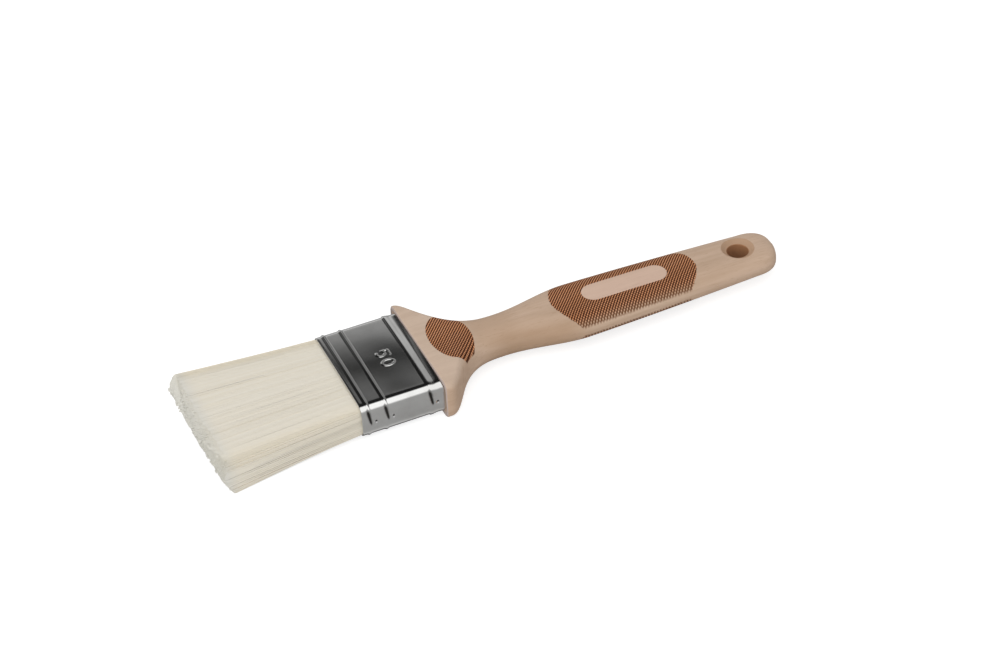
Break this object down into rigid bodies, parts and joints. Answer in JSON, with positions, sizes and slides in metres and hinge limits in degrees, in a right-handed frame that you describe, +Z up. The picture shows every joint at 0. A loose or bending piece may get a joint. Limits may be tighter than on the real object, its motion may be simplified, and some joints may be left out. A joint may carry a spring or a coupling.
{
  "type": "flat paint brush",
  "caption": "Flat paint brush: beech handle with wide head, waisted neck and hang hole, bright steel ferrule with rolled beads, off-white synthetic bristle set in resin.",
  "frame": {"origin": "under the middle of the brush, on the surface that it lies on", "axes": "+X along the brush from the bristle tips to the butt of the handle, Y across it, +Z up out of its front face"},
  "size_m": [0.254, 0.059, 0.0174],
  "materials": {
    "beech": "raw sanded beech with a burned grip hatch",
    "tinned_steel": "bright tinned sheet",
    "resin": "cast resin",
    "filler_card": "plain",
    "filament": "off-white filament"
  },
  "bodies": {
    "root": {"handle": "beech", "ferrule": "tinned_steel", "resin_heel": "resin", "filler_strip_front": "filler_card", "filler_strip_back": "filler_card", "bristle_row_front": "filament", "bristle_row_middle": "filament", "bristle_row_back": "filament"}
  },
  "joints": []
}
